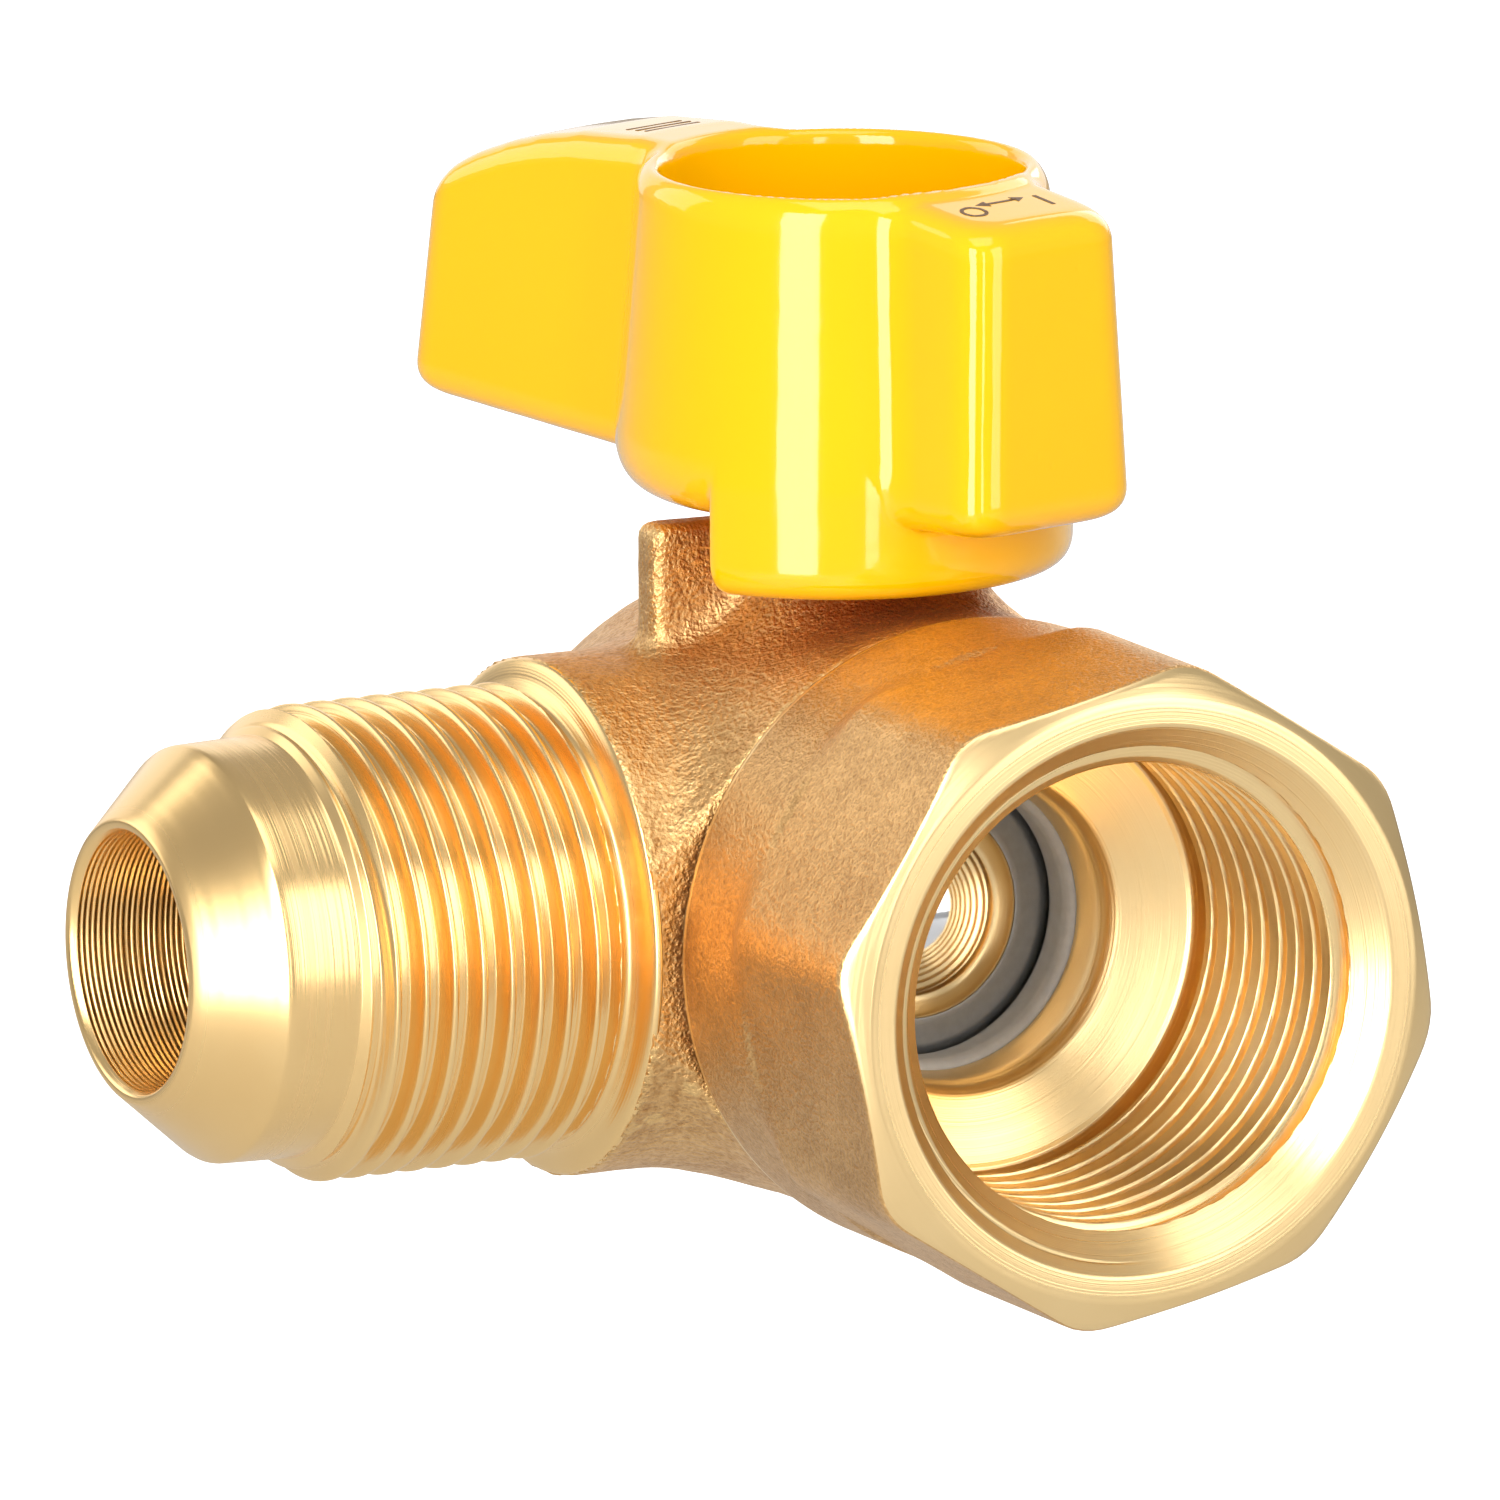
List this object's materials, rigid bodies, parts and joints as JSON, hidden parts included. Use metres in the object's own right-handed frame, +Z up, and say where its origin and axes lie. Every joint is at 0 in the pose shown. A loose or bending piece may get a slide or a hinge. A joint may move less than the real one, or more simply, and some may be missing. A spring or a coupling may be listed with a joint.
{
  "type": "angle gas ball valve",
  "caption": "Right-angle brass gas ball valve with a female pipe-thread inlet, a male flare outlet and a painted quarter-turn lever.",
  "frame": {"origin": "centre of the inlet's mouth plane, on the pipe thread's axis", "axes": "-Y out of the inlet, -X out of the flare outlet, +Z up the stem"},
  "size_m": [0.0566, 0.06, 0.0535],
  "materials": {
    "cast_brass": "forged and sandblasted brass, machined bright on the threads, faces and cone",
    "turned_brass": "turned bright brass",
    "chrome_plate": "polished chrome plate on brass",
    "yellow_paint": "glossy yellow paint on die-cast zinc",
    "ptfe": "grey filled PTFE",
    "nitrile": "matt black nitrile rubber",
    "sealant": "cured grey-green thread sealant",
    "zinc_plate": "bright zinc-plated steel"
  },
  "bodies": {
    "body": {"valve_body": "cast_brass", "end_adapter": "cast_brass", "joint_seal": "sealant", "front_seat": "ptfe", "rear_seat": "ptfe", "front_seat_o_ring": "nitrile", "rear_seat_o_ring": "nitrile"},
    "handle": {"handle": "yellow_paint", "handle_nut": "zinc_plate", "handle_lock_washer": "zinc_plate", "stem": "turned_brass", "stem_o_ring_lower": "nitrile", "stem_o_ring_upper": "nitrile", "stem_thrust_washer": "ptfe"},
    "ball": {"ball": "chrome_plate"}
  },
  "joints": [
    {"name": "handle_turn", "type": "hinge", "parent": "body", "child": "handle", "pos_m": [0, 0.0322, 0], "axis": [0, 0, 1], "range_deg": [-15, 75]},
    {"name": "ball_turn", "type": "hinge", "parent": "body", "child": "ball", "pos_m": [0, 0.0322, 0], "axis": [0, 0, 1], "range_deg": [-15, 75]}
  ],
  "couplings": [
    {"joint": "ball_turn", "follows": "handle_turn", "ratio": 1}
  ]
}
